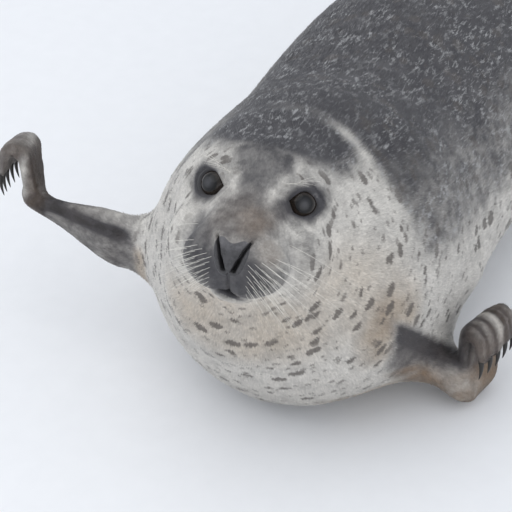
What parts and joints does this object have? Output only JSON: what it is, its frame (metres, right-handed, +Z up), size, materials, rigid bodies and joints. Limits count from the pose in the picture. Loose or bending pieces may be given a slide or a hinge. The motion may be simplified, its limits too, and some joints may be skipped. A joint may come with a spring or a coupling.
{
  "type": "spotted seal",
  "caption": "Life-size still model of a spotted seal lying on its belly, head raised and turned, one fore flipper held out in the air and the other resting on the ground.",
  "frame": {"origin": "under the middle of the bounding box, at the level of the ground", "axes": "+Z up; +Y runs along the body from nose to hind flippers; +X towards the seal's own left side"},
  "size_m": [0.6066, 1.4728, 0.3541],
  "materials": {
    "fur_head": "short dense flat fur, grey over silver, dark crown and pale rings round the eyes",
    "fur_pale": "short dense flat fur, cream silver with small dark oval spots",
    "fur_mantle": "short dense flat fur, slate grey mantle with pale mottling, paler and spotted down the flanks",
    "fur_flipper": "very short flat fur, dark grey with paler edges and a brown underside",
    "nose_leather": "bare, finely grained, slightly moist",
    "eye": "wet, dark, glossy",
    "claw": "dark horn, faintly ridged"
  },
  "bodies": {
    "root": {"head": "fur_head", "lower_jaw": "fur_pale", "nose_pad": "nose_leather", "eye_left": "eye", "eye_right": "eye", "neck": "fur_pale", "trunk_front": "fur_mantle", "trunk_rear": "fur_mantle", "hips": "fur_mantle", "tail": "fur_mantle", "foreflipper_left": "fur_flipper", "foreflipper_right": "fur_flipper", "hindflipper_left": "fur_flipper", "hindflipper_right": "fur_flipper", "claw_fore_left_1": "claw", "claw_fore_left_2": "claw", "claw_fore_left_3": "claw", "claw_fore_left_4": "claw", "claw_fore_left_5": "claw", "claw_fore_right_1": "claw", "claw_fore_right_2": "claw", "claw_fore_right_3": "claw", "claw_fore_right_4": "claw", "claw_fore_right_5": "claw", "claw_hind_left_1": "claw", "claw_hind_left_2": "claw", "claw_hind_left_3": "claw", "claw_hind_left_4": "claw", "claw_hind_left_5": "claw", "claw_hind_right_1": "claw", "claw_hind_right_2": "claw", "claw_hind_right_3": "claw", "claw_hind_right_4": "claw", "claw_hind_right_5": "claw"}
  },
  "joints": []
}
